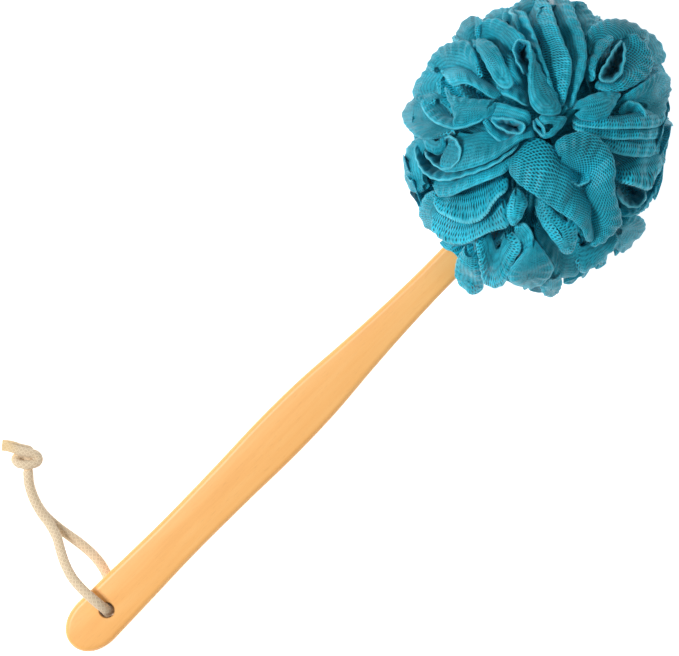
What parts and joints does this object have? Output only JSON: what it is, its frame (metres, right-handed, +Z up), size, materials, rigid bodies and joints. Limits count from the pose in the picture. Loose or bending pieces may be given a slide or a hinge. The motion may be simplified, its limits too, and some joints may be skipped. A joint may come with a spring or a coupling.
{
  "type": "bath back scrubber",
  "caption": "Long flat wooden handle with a ball of gathered netting laced to its head and a knotted cotton hanging cord that swings through a hole in its tail.",
  "frame": {"origin": "on the surface that the scrubber lies on, under the middle of the box round its handle and ball", "axes": "+X along the scrubber from the handle's tail to the ball, +Y to the side that the hanging cord's loop lies on at rest, +Z up"},
  "size_m": [0.4092, 0.152, 0.12],
  "materials": {
    "wood": "satin",
    "netting": "satin",
    "binding": "satin",
    "cotton": "matte"
  },
  "bodies": {
    "scrubber": {"handle": "wood", "netting_sleeve_front_1": "netting", "netting_sleeve_front_2": "netting", "netting_sleeve_front_3": "netting", "netting_sleeve_back_1": "netting", "netting_sleeve_back_2": "netting", "netting_sleeve_back_3": "netting", "binding_cord": "binding", "binding_knot": "binding"},
    "hanging_loop": {"hanging_cord": "cotton", "hanging_cord_knot": "cotton", "hanging_cord_end_a": "cotton", "hanging_cord_end_b": "cotton"}
  },
  "joints": [
    {"name": "hanging_loop_swing", "type": "hinge", "parent": "scrubber", "child": "hanging_loop", "pos_m": [-0.17998, -0.009, 0.0113], "axis": [-0.1493, 0, 0.9888], "range_deg": [-50, 235]}
  ]
}
